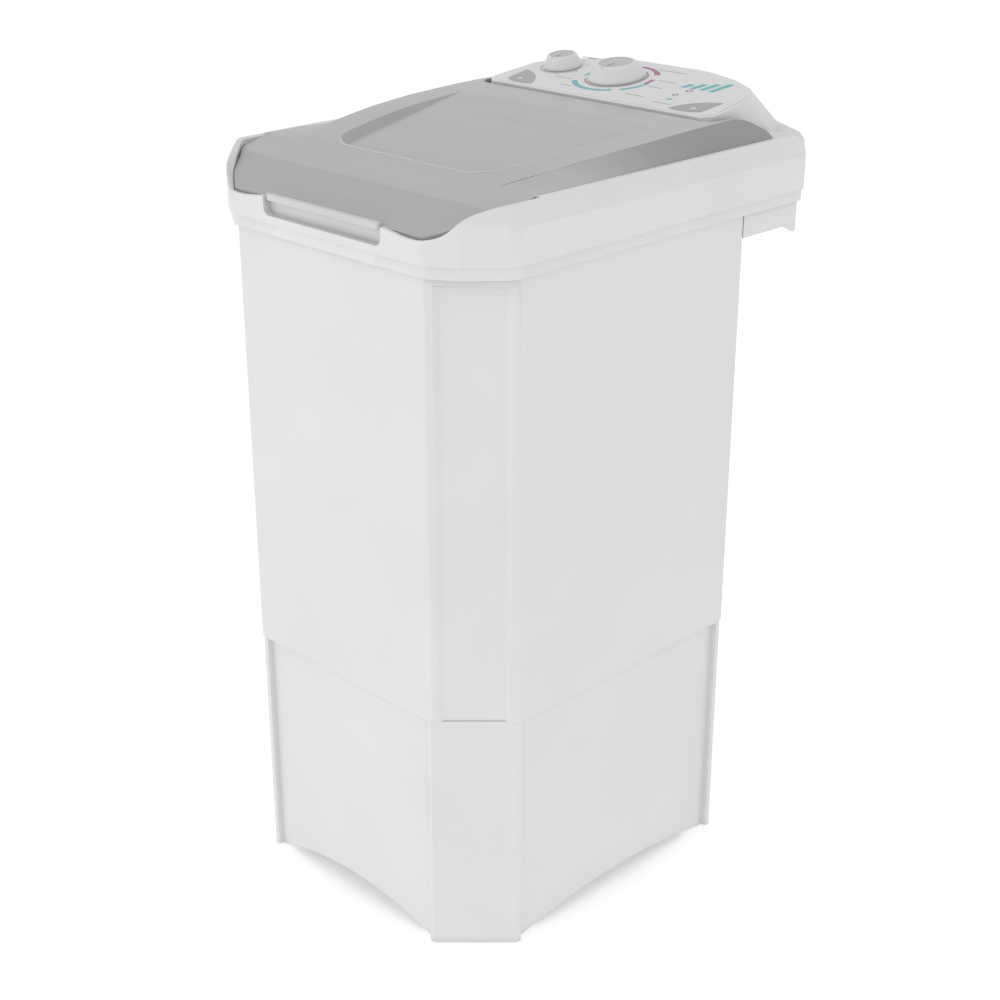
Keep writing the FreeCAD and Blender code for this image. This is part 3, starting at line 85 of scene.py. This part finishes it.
class Tree:
    """A material's node tree with a few short ways to add and join nodes."""

    def __init__(self, name):
        self.material = bpy.data.materials.new(name)
        self.material.use_nodes = True
        self.nodes = self.material.node_tree.nodes
        self.links = self.material.node_tree.links
        self.shader = self.nodes["Principled BSDF"]
        self.place = self.add("ShaderNodeTexCoord").outputs["Object"]

    def add(self, kind, **settings):
        node = self.nodes.new(kind)
        for key, value in settings.items():
            setattr(node, key, value)
        return node

    def join(self, output, target):
        self.links.new(output, target)

    def set(self, **values):
        for key, value in values.items():
            self.shader.inputs[key.replace("_", " ")].default_value = value

    def mapped(self, stretch):
        mapping = self.add("ShaderNodeMapping")
        mapping.inputs["Scale"].default_value = stretch
        self.join(self.place, mapping.inputs["Vector"])
        return mapping.outputs["Vector"]

    def noise(self, scale, detail=3.0, stretch=(1, 1, 1), roughness=0.5):
        node = self.add("ShaderNodeTexNoise")
        node.inputs["Scale"].default_value = scale
        node.inputs["Detail"].default_value = detail
        node.inputs["Roughness"].default_value = roughness
        self.join(self.mapped(stretch), node.inputs["Vector"])
        return node.outputs["Fac"]

    def ranged(self, value, low, high, to_low, to_high):
        node = self.add("ShaderNodeMapRange")
        for key, number in (("From Min", low), ("From Max", high), ("To Min", to_low), ("To Max", to_high)):
            node.inputs[key].default_value = number
        self.join(value, node.inputs["Value"])
        return node.outputs["Result"]

    def mixed(self, factor, first, second):
        """Colour that runs from first to second; either may be a colour or a socket.

        The mix node keeps its colours behind its numbers and vectors: 6 and 7 go in, 2 comes out.
        """
        node = self.add("ShaderNodeMix", data_type="RGBA")
        self.join(factor, node.inputs["Factor"])
        for value, socket in ((first, node.inputs[6]), (second, node.inputs[7])):
            if isinstance(value, tuple):
                socket.default_value = (*value, 1)
            else:
                self.join(value, socket)
        return node.outputs[2]

    def painted_crevice_shade(self, colour, reach, depth):
        """Colour with painted shade, darkened where other surfaces crowd in on it."""
        node = self.add("ShaderNodeAmbientOcclusion", samples=4)
        node.inputs["Distance"].default_value = reach
        shade_amount = self.ranged(node.outputs["AO"], 0.35, 0.95, depth, 0)
        return self.mixed(shade_amount, colour, CREVICE_SHADE_COLOUR)

    def paint(self, colour):
        self.join(colour, self.shader.inputs["Base Color"])

    def roughen(self, pattern, low, high):
        """Roughness that follows a noise pattern from low to high."""
        rough = self.ranged(pattern, NOISE_LOW, NOISE_HIGH, low, high)
        self.join(rough, self.shader.inputs["Roughness"])

    def bump(self, height, distance, strength=1.0):
        """Adds one more layer of relief, under any that came before."""
        node = self.add("ShaderNodeBump")
        node.inputs["Distance"].default_value = distance
        node.inputs["Strength"].default_value = strength
        self.join(height, node.inputs["Height"])
        normal = self.shader.inputs["Normal"]
        if normal.links:
            self.join(normal.links[0].from_socket, node.inputs["Normal"])
        self.join(node.outputs["Normal"], normal)


def shade(colour, factor):
    """The same colour, paler or darker."""
    return tuple(min(1.0, channel * factor) for channel in colour)


def plastic(name, colour, rough, grain=1400.0, relief=0.00002, variation=0.015, edge_wear_and_highlight=0.04, coat=0.0):
    """Moulded plastic: faint cloudy colour, moulded grain, slightly paler edges that are partly wear and
    partly a painted highlight, and painted shade in its crevices.
    """
    tree = Tree(name)
    tree.set(IOR=1.49, Coat_Weight=coat, Coat_Roughness=0.08)
    cloud = tree.noise(7.0, 4.0)
    base = tree.mixed(tree.ranged(cloud, 0.35, 0.65, 0, 1), shade(colour, 1 - variation),
                      shade(colour, 1 + variation))
    # pointiness is one half on flat ground and more on outer edges
    pointiness = tree.add("ShaderNodeNewGeometry").outputs["Pointiness"]
    # paler outer edges: partly wear, partly a painted highlight where the edges catch the light
    edge = tree.ranged(pointiness, 0.52, 0.62, 0, edge_wear_and_highlight)
    worn_and_highlit = tree.mixed(edge, base, shade(colour, 1.12))
    # painted shade where other surfaces crowd in
    tree.paint(tree.painted_crevice_shade(worn_and_highlit, CREVICE_SHADE_REACH, CREVICE_SHADE_DEPTH))
    # hand smudges, then the slight waviness of a large moulding under its fine grain
    tree.roughen(tree.noise(26.0, 5.0), rough - 0.05, rough + 0.06)
    tree.bump(tree.noise(9.0, 2.0), 0.0003, 0.2)
    tree.bump(tree.noise(grain, 2.0), relief)
    return tree.material


def smoke_plastic(name, colour, alpha, streak):
    """Smoke-grey see-through plastic with soft streaks across the width, and painted shade on its sloping
    faces.
    """
    tree = Tree(name)
    tree.set(IOR=1.57, Roughness=0.16, Alpha=alpha, Coat_Weight=0.3, Coat_Roughness=0.05)
    streaks = tree.noise(5.0, 5.0, stretch=(0.8, 4.5, 4.5), roughness=0.6)
    cloud = tree.noise(3.0, 3.0)
    base = tree.mixed(tree.ranged(streaks, 0.32, 0.68, 0, 1), shade(colour, 1 - streak),
                      shade(colour, 1 + streak * 0.6))
    base = tree.mixed(tree.ranged(cloud, NOISE_LOW, NOISE_HIGH, 0, 0.35), base, colour)
    # painted shade: sloping faces are painted darker, standing in for how the light falls on them
    slope = tree.add("ShaderNodeSeparateXYZ")
    tree.join(tree.add("ShaderNodeTexCoord").outputs["Normal"], slope.inputs["Vector"])
    steep_shade = tree.ranged(slope.outputs["Z"], 0.68, 0.97, 1, 0)
    tree.paint(tree.mixed(steep_shade, base, shade(colour, 0.66)))
    tree.bump(tree.noise(12.0, 2.0), 0.0008, 0.25)
    tree.bump(tree.noise(700.0, 2.0), 0.000008)
    return tree.material


def rubber(name, colour, rough=0.75):
    """Dull rubber with a coarse skin and dusty pale patches."""
    tree = Tree(name)
    dust = tree.ranged(tree.noise(40.0, 6.0), 0.45, 0.8, 0, 0.35)
    tree.paint(tree.mixed(dust, colour, shade(colour, 2.2)))
    tree.roughen(tree.noise(90.0), rough - 0.1, rough + 0.12)
    tree.bump(tree.noise(900.0, 3.0), 0.00005)
    return tree.material


def metal(name, colour, rough, stretch=(1, 1, 1), scale=300.0, relief=0.00001, paint=False):
    """Bare or painted metal: fine lines along one direction, dull stains and handling marks."""
    tree = Tree(name)
    tree.set(Metallic=0.0 if paint else 1.0)
    stains = tree.ranged(tree.noise(18.0, 6.0), 0.35, 0.75, 0, 1)
    tree.paint(tree.mixed(stains, colour, shade(colour, STAIN_SHADE)))
    lines = tree.noise(scale, 3.0, stretch)
    tree.roughen(lines, rough - 0.08, rough + 0.1)
    tree.bump(lines, relief)
    tree.bump(tree.noise(60.0, 4.0), 0.00006, 0.4)
    return tree.material


def winding(name):
    """Copper turns seen as fine ridges round the motor's core."""
    tree = Tree(name)
    tree.set(Metallic=0.8, Roughness=0.38)
    wave = tree.add("ShaderNodeTexWave", bands_direction="Z")
    wave.inputs["Scale"].default_value = 260.0
    wave.inputs["Distortion"].default_value = 0.6
    tree.join(tree.place, wave.inputs["Vector"])
    tree.paint(tree.mixed(wave.outputs["Fac"], (0.30, 0.13, 0.05), (0.72, 0.36, 0.16)))
    tree.bump(wave.outputs["Fac"], 0.0003)
    return tree.material


def ink(name, colour):
    """Screen-printed ink, a little uneven where it lies thin."""
    tree = Tree(name)
    tree.set(Roughness=0.45)
    thin = tree.ranged(tree.noise(320.0, 4.0), 0.42, 0.75, 0, 0.25)
    tree.paint(tree.mixed(thin, colour, (0.75, 0.75, 0.75)))
    tree.bump(tree.noise(1500.0), 0.00001)
    return tree.material


def floor_finish(name):
    """Matt white light table: its own faint glow keeps the ground pure white round the object."""
    tree = Tree(name)
    tree.set(Roughness=0.9, Specular_IOR_Level=0.1)
    tree.set(Emission_Color=(1, 1, 1, 1), Emission_Strength=FLOOR_GLOW)
    mottle = tree.ranged(tree.noise(3.0, 4.0), NOISE_LOW, NOISE_HIGH, 0, 1)
    tree.paint(tree.mixed(mottle, (0.94, 0.94, 0.94), (0.96, 0.96, 0.96)))
    tree.bump(tree.noise(400.0, 3.0), 0.00003)
    return tree.material


FINISHES = {
    "white_shell": plastic("white_shell", (0.80, 0.80, 0.802), 0.46, grain=1100.0, relief=0.00003),
    "white_gloss": plastic("white_gloss", (0.82, 0.82, 0.822), 0.30, relief=0.000012, coat=0.15),
    "tub_plastic": plastic("tub_plastic", (0.74, 0.76, 0.78), 0.28, relief=0.000015),
    "smoke_lid": smoke_plastic("smoke_lid", (0.60, 0.60, 0.61), 0.84, 0.05),
    "printed_film": plastic("printed_film", (0.81, 0.81, 0.812), 0.34, grain=2200.0, relief=0.000008),
    "grey_inlay": plastic("grey_inlay", (0.42, 0.42, 0.425), 0.30, variation=0.03),
    "cap_plastic": plastic("cap_plastic", (0.56, 0.56, 0.57), 0.32, variation=0.02),
    # painted highlight: the tray's bead is paler than the lid, standing in for the light on the tray's edge
    "highlight_bead_plastic": plastic("highlight_bead_plastic", (0.70, 0.70, 0.71), 0.25),
    "grip_plastic": plastic("grip_plastic", (0.66, 0.66, 0.67), 0.3, variation=0.03),
    "switch_plastic": plastic("switch_plastic", (0.03, 0.03, 0.032), 0.5, variation=0.1, edge_wear_and_highlight=0.1),
    "blue_plastic": plastic("blue_plastic", (0.10, 0.26, 0.50), 0.4, variation=0.05),
    "grey_plastic": plastic("grey_plastic", (0.24, 0.25, 0.26), 0.45, variation=0.04),
    "pulsator_plastic": plastic("pulsator_plastic", (0.42, 0.48, 0.56), 0.3, variation=0.03),
    "foot_rubber": rubber("foot_rubber", (0.035, 0.035, 0.035)),
    "black_rubber": rubber("black_rubber", (0.02, 0.02, 0.02)),
    "belt_rubber": rubber("belt_rubber", (0.015, 0.015, 0.015), 0.65),
    "steel": metal("steel", (0.60, 0.60, 0.58), 0.3, stretch=(1, 1, 12)),
    "plate_steel": metal("plate_steel", (0.20, 0.21, 0.22), 0.42, paint=True, relief=0.00003),
    "cast_alloy": metal("cast_alloy", (0.58, 0.59, 0.60), 0.48, scale=500.0, relief=0.00006),
    "motor_alloy": metal("motor_alloy", (0.34, 0.35, 0.36), 0.42, scale=450.0, relief=0.00005),
    "bronze": metal("bronze", (0.62, 0.42, 0.20), 0.4, scale=800.0, relief=0.00004),
    "winding": winding("winding"),
}
INKS = {
    "teal": ink("teal_ink", TEAL),
    "magenta": ink("magenta_ink", MAGENTA),
    "plum": ink("plum_ink_and_shadow", PLUM_PRINT_AND_SHADOW),
    "grey": ink("grey_ink", PRINT_GREY),
    "pale": ink("pale_ink", PRINT_PALE),
    "white": ink("white_ink", PRINT_WHITE),
}


def finish_nodes():
    """Each CAD node takes the finish that the record names for it."""
    for subpart in frame["record"]["subparts"]:
        mesh = NODES[subpart["node"]].data
        mesh.materials.clear()
        mesh.materials.append(FINISHES[subpart["material_slot"]])


# ------------------------------------------------------------------ rounded edges on the mouldings
WELD_REACH = 0.000002
FLAT_ANGLE = 0.2             # degrees; neighbouring faces closer to flat than this become one
SHARP_ANGLE = 28             # degrees; only edges sharper than this are rounded
ROUND_STEPS = 3

# width of the rounding on each moulding, in millimetres
SOFT_EDGES = {
    "cabinet_shell": 0.8,
    "base_skirt": 0.5,
    "top_frame": 1.2,
    "console_shell": 1.2,
    "lid_handle": 1.0,
    "timer_knob": 0.6,
    "selector_knob": 0.6,
    "rear_cover": 0.8,
}


def soften(node, width_mm):
    """Rounds a CAD node's sharp edges with modifiers; its own vertices stay where they are."""
    obj = NODES[node]
    weld = obj.modifiers.new("weld", "WELD")
    weld.merge_threshold = WELD_REACH
    flat = obj.modifiers.new("flat", "DECIMATE")
    flat.decimate_type = "DISSOLVE"
    flat.angle_limit = math.radians(FLAT_ANGLE)
    bevel = obj.modifiers.new("bevel", "BEVEL")
    bevel.width = width_mm * MM
    bevel.segments = ROUND_STEPS
    bevel.limit_method = "ANGLE"
    bevel.angle_limit = math.radians(SHARP_ANGLE)
    bevel.use_clamp_overlap = True


# ------------------------------------------------------------------ console print
# Bands round a knob: inner and outer radius in millimetres, first and last angle in degrees,
# and the share of the width that is left at the last angle.
WASH_BANDS = [(49.0, 56.0, -142, -56, 0.75), (50.5, 56.0, -44, -3, 1.0), (42.5, 47.0, -198, -166, 1.0)]
RINSE_BANDS = [(47.5, 53.5, -5, 15, 1.0), (47.0, 54.5, 36, 90, 0.6)]
# the timer's plum ring is partly print and partly a painted shadow along the knob's skirt edge
TIMER_RING_PRINT_AND_SHADOW = (38.4, 40.0, -150, 60)
SELECTOR_RING = (27.5, 28.6, -165, -8)
TICK_RADII = (31.0, 33.5)
TICK_ANGLES = (-60, -15, 30, 75)
TICK_HALF_ANGLE = 2
ARC_STEP = 4                 # degrees between the points of a band's outline

# Left end in plan and length of each bar, in millimetres.
CAPTION_BARS = [
    (0, 237, 44), (28, 201, 29), (34, 177, 21), (27, 142, 28),
    (-106, 159, 30), (-75, 136, 20), (-133, 240, 24), (78, 132, 28),
]
CAPTION_HEIGHT_MM = 2.2

LOAD_BARS = 4
LOAD_BAR_PLACE = (70, 193)   # lower left corner of the first bar, in plan
LOAD_BAR_PITCH_MM = 14.5
LOAD_BAR_LENGTH_MM = 8
LOAD_BAR_HEIGHT_MM = 14      # of the first bar; each next one is taller by LOAD_BAR_RISE_MM
LOAD_BAR_RISE_MM = 7
LOAD_BAR_SLANT_MM = 5

# Small marks of the cycles, with their places in plan.  The rings are open and the cross leans.
SPIN_RING, SPIN_PLACE = (2.6, 4.8, 0, 330), (92, 185)
SOAK_RING, SOAK_PLACE = (2.2, 4.2, 0, 330), (86, 166)
CROSS_BARS = [((9, 1.8), (85, 149)), ((1.8, 8), (89, 145))]
CROSS_SLANT_MM = 2

INLAY_MARK = [(-4.5, 0), (4.5, 0), (0, 6)]
INLAY_MARK_PLACE = (141, 131)


def console_frame():
    """Matrix from the console's sloping plane, centred on the timer, to the part's frame."""
    joint = JOINTS["timer_turn"]
    normal = Vector(joint["axis"])
    across = Vector((1, 0, 0))
    matrix = Matrix((across, normal.cross(across), normal)).transposed().to_4x4()
    matrix.translation = Vector(joint["pos_m"])
    return matrix


def on_console(x, y):
    """Place on the console's plane, from the timer, of a point given in plan; millimetres."""
    timer = JOINTS["timer_turn"]
    slope = timer["axis"][2]
    return x - timer["pos_m"][0] / MM, (y - timer["pos_m"][1] / MM) / slope


def plate(bm, outline, low, high):
    """Adds a thin closed plate over an outline of (u, v) points in millimetres."""
    rings = []
    for level in (low, high):
        rings.append([bm.verts.new((u * MM, v * MM, level * MM)) for u, v in outline])
    bm.faces.new(list(reversed(rings[0])))
    bm.faces.new(rings[1])
    count = len(outline)
    for i in range(count):
        j = (i + 1) % count
        bm.faces.new((rings[0][i], rings[0][j], rings[1][j], rings[1][i]))


def arc_outline(inner, outer, start, end, taper=1.0):
    """Band round the origin between two radii; taper scales its width at the far end."""
    steps = max(4, int(abs(end - start) / ARC_STEP))
    outer_side, inner_side = [], []
    for i in range(steps + 1):
        share = i / steps
        angle = math.radians(start + (end - start) * share)
        far = inner + (outer - inner) * (1 + (taper - 1) * share)
        outer_side.append((math.cos(angle) * far, math.sin(angle) * far))
        inner_side.append((math.cos(angle) * inner, math.sin(angle) * inner))
    return outer_side + inner_side[::-1]


def moved(outline, place):
    """The outline shifted by place."""
    return [(u + place[0], v + place[1]) for u, v in outline]


def bar_outline(length, height, slant=0.0):
    """Small bar from its lower left corner, leaning by slant."""
    return [(0, 0), (length, 0), (length + slant, height), (slant, height)]


def printed(name, colour, outlines, base_mm=LABEL_TOP_MM):
    """One printed mark: thin plates on the film, riding with the fixed body."""
    bm = bmesh.new()
    for outline in outlines:
        plate(bm, outline, base_mm, base_mm + PRINT_MM)
    bmesh.ops.recalc_face_normals(bm, faces=bm.faces)
    obj = mesh_object(name, bm, INKS[colour])
    obj.matrix_world = console_frame()
    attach(obj, "root")


def mesh_object(name, bm, material):
    """Turns a finished bmesh into a scene object with one material."""
    mesh = bpy.data.meshes.new(name)
    bm.to_mesh(mesh)
    bm.free()
    mesh.materials.append(material)
    obj = bpy.data.objects.new(name, mesh)
    bpy.context.scene.collection.objects.link(obj)
    return obj


def print_timer_scale():
    printed("timer_scale_wash", "teal", [arc_outline(*band) for band in WASH_BANDS])
    printed("timer_scale_rinse", "magenta", [arc_outline(*band) for band in RINSE_BANDS])
    # plum ring: print together with a painted shadow round the knob's base
    printed("timer_ring_and_shadow", "plum", [arc_outline(*TIMER_RING_PRINT_AND_SHADOW)])


def print_selector_scale():
    """Ring round the selector, with a tick at each of its positions."""
    place = on_console(*[JOINTS["selector_turn"]["pos_m"][axis] / MM for axis in (0, 1)])
    ring = moved(arc_outline(*SELECTOR_RING), place)
    ticks = [
        moved(arc_outline(*TICK_RADII, angle - TICK_HALF_ANGLE, angle + TICK_HALF_ANGLE), place)
        for angle in TICK_ANGLES
    ]
    printed("selector_scale", "grey", [ring] + ticks)


def print_captions():
    """Plain bars stand where a real panel has words."""
    bars = [moved(bar_outline(length, CAPTION_HEIGHT_MM), on_console(x, y)) for x, y, length in CAPTION_BARS]
    printed("caption_bars", "pale", bars)


def load_bar(i):
    """One slanting bar of the row; each is taller than the one before."""
    first_x, y = LOAD_BAR_PLACE
    height = LOAD_BAR_HEIGHT_MM + LOAD_BAR_RISE_MM * i
    outline = bar_outline(LOAD_BAR_LENGTH_MM, height, LOAD_BAR_SLANT_MM)
    return moved(outline, on_console(first_x + LOAD_BAR_PITCH_MM * i, y))


def print_symbols():
    """Load bars, then the small marks of the cycles: two open rings and a cross."""
    printed("load_bars", "teal", [load_bar(i) for i in range(LOAD_BARS)])
    printed("spin_mark", "magenta", [moved(arc_outline(*SPIN_RING), on_console(*SPIN_PLACE))])
    printed("soak_mark", "grey", [moved(arc_outline(*SOAK_RING), on_console(*SOAK_PLACE))])
    cross = [moved(bar_outline(*bar, CROSS_SLANT_MM), on_console(*place)) for bar, place in CROSS_BARS]
    printed("rinse_mark", "teal", cross)


def print_inlay_marks():
    x, y = INLAY_MARK_PLACE
    for side, name in ((1, "right"), (-1, "left")):
        mark = moved(INLAY_MARK, on_console(side * x, y))
        printed("inlay_mark_" + name, "white", [mark], INLAY_TOP_MM)


# ------------------------------------------------------------------ lid's tray
RAY_START = 1.2              # higher than any part of the closed lid
TRAY_CENTRE_Y_MM = -100.0    # the search for the tray's edge fans out from here
TRAY_ANGLES = range(-150, 24, 3)         # degrees: from the left, round the front, to the right
TRAY_FAR_MM, TRAY_NEAR_MM, TRAY_STEP_MM = 150.0, 60, 0.5
BORDER_X_MM = 158.0          # beside the tray the lid still has its full height
TRAY_DROP_MM = 0.25          # the edge is where the lid is this much lower than its border

BEAD_HALF_MM = 1.1
BEAD_WIDE, BEAD_FLAT = 1.3, 0.7          # the bead is wider than it is tall
BEAD_LIFT_MM = 0.2
BEAD_SIDES = 8
BEAD_END, BEAD_END_STEPS = 0.3, 6        # size of its tips, and the steps over which they thin out


def lid_height(x, y):
    """Height of the lid's upper surface over a point in plan; millimetres."""
    hit = NODES["lid"].ray_cast(Vector((x * MM, y * MM, RAY_START)), Vector((0, 0, -1)))
    return hit[1].z / MM


def tray_edge():
    """Points in plan where the lid's top drops into its tray: front edge, corners and right side."""
    path = []
    for angle in TRAY_ANGLES:
        across, ahead = math.cos(math.radians(angle)), math.sin(math.radians(angle))
        reach = TRAY_FAR_MM
        while reach > TRAY_NEAR_MM:
            x, y = reach * across, TRAY_CENTRE_Y_MM + reach * ahead
            if lid_height(BORDER_X_MM, y) - lid_height(x, y) > TRAY_DROP_MM:
                break
            reach -= TRAY_STEP_MM
        path.append((x, y))
    return path


def bead_ring(bm, path, i):
    """One flattened ring of the bead, square to the path at its point i."""
    last = len(path) - 1
    up = Vector((0, 0, 1))
    along = (path[min(i + 1, last)] - path[max(i - 1, 0)]).normalized()
    across = along.cross(up).normalized()
    size = BEAD_HALF_MM * min(1.0, BEAD_END + min(i, last - i) / BEAD_END_STEPS)
    ring = []
    for k in range(BEAD_SIDES):
        angle = 2 * math.pi * k / BEAD_SIDES
        offset = across * math.cos(angle) * size * BEAD_WIDE + up * math.sin(angle) * size * BEAD_FLAT
        ring.append(bm.verts.new((path[i] + offset) * MM))
    return ring


def make_tray_highlight_bead():
    """Fine rounded pale bead along the tray's edge: a painted highlight standing in for the light that the
    moulding's edge catches.
    """
    path = [Vector((x, y, lid_height(x, y) + BEAD_LIFT_MM)) for x, y in tray_edge()]
    bm = bmesh.new()
    rings = [bead_ring(bm, path, i) for i in range(len(path))]
    for first, second in zip(rings, rings[1:]):
        for k in range(BEAD_SIDES):
            j = (k + 1) % BEAD_SIDES
            bm.faces.new((first[k], first[j], second[j], second[k]))
    bm.faces.new(rings[0][::-1])
    bm.faces.new(rings[-1])
    bmesh.ops.recalc_face_normals(bm, faces=bm.faces)
    for face in bm.faces:
        face.smooth = True
    bead = mesh_object("tray_highlight_bead", bm, FINISHES["highlight_bead_plastic"])
    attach(bead, "lid")


# ------------------------------------------------------------------ studio
def facing(place, target):
    """Turn that points a camera or a light at place towards target."""
    return (Vector(target) - Vector(place)).to_track_quat("-Z", "Y").to_euler()


def make_camera():
    data = bpy.data.cameras.new("camera")
    camera = bpy.data.objects.new("camera", data)
    bpy.context.scene.collection.objects.link(camera)
    data.sensor_width = CAMERA_SENSOR_MM
    data.lens = CAMERA_LENS_MM
    data.clip_end = CAMERA_FARTHEST
    camera.location = CAMERA_PLACE
    camera.rotation_euler = facing(CAMERA_PLACE, CAMERA_TARGET)
    bpy.context.scene.camera = camera


def make_light(name, place, width, power):
    data = bpy.data.lights.new(name, "AREA")
    data.size = width
    data.energy = power
    light = bpy.data.objects.new(name, data)
    bpy.context.scene.collection.objects.link(light)
    light.location = place
    light.rotation_euler = facing(place, LIGHT_TARGET)


def make_floor():
    corners = [(x * FLOOR_REACH, y * FLOOR_REACH, 0) for x, y in ((-1, -1), (1, -1), (1, 1), (-1, 1))]
    mesh = bpy.data.meshes.new("floor")
    mesh.from_pydata(corners, [], [(0, 1, 2, 3)])
    mesh.materials.append(floor_finish("studio_floor"))
    floor = bpy.data.objects.new("floor", mesh)
    bpy.context.scene.collection.objects.link(floor)


def make_world():
    world = bpy.data.worlds.new("studio")
    world.use_nodes = True
    nodes, links = world.node_tree.nodes, world.node_tree.links
    sky = nodes["Background"]
    sky.inputs["Color"].default_value = (1, 1, 1, 1)
    # the backdrop itself is pure white; what lights the object is softer
    strength = nodes.new("ShaderNodeMapRange")
    strength.inputs["To Min"].default_value = WORLD_LIGHT
    strength.inputs["To Max"].default_value = BACKDROP_LIGHT
    links.new(nodes.new("ShaderNodeLightPath").outputs["Is Camera Ray"], strength.inputs["Value"])
    links.new(strength.outputs["Result"], sky.inputs["Strength"])
    bpy.context.scene.world = world
    bpy.context.scene.view_settings.view_transform = "Standard"


finish_nodes()
for node, width_mm in SOFT_EDGES.items():
    soften(node, width_mm)
print_timer_scale()
print_selector_scale()
print_captions()
print_symbols()
print_inlay_marks()
make_tray_highlight_bead()
make_camera()
make_world()
make_floor()
for name, (place, width, power) in LIGHTS.items():
    make_light(name, place, width, power)
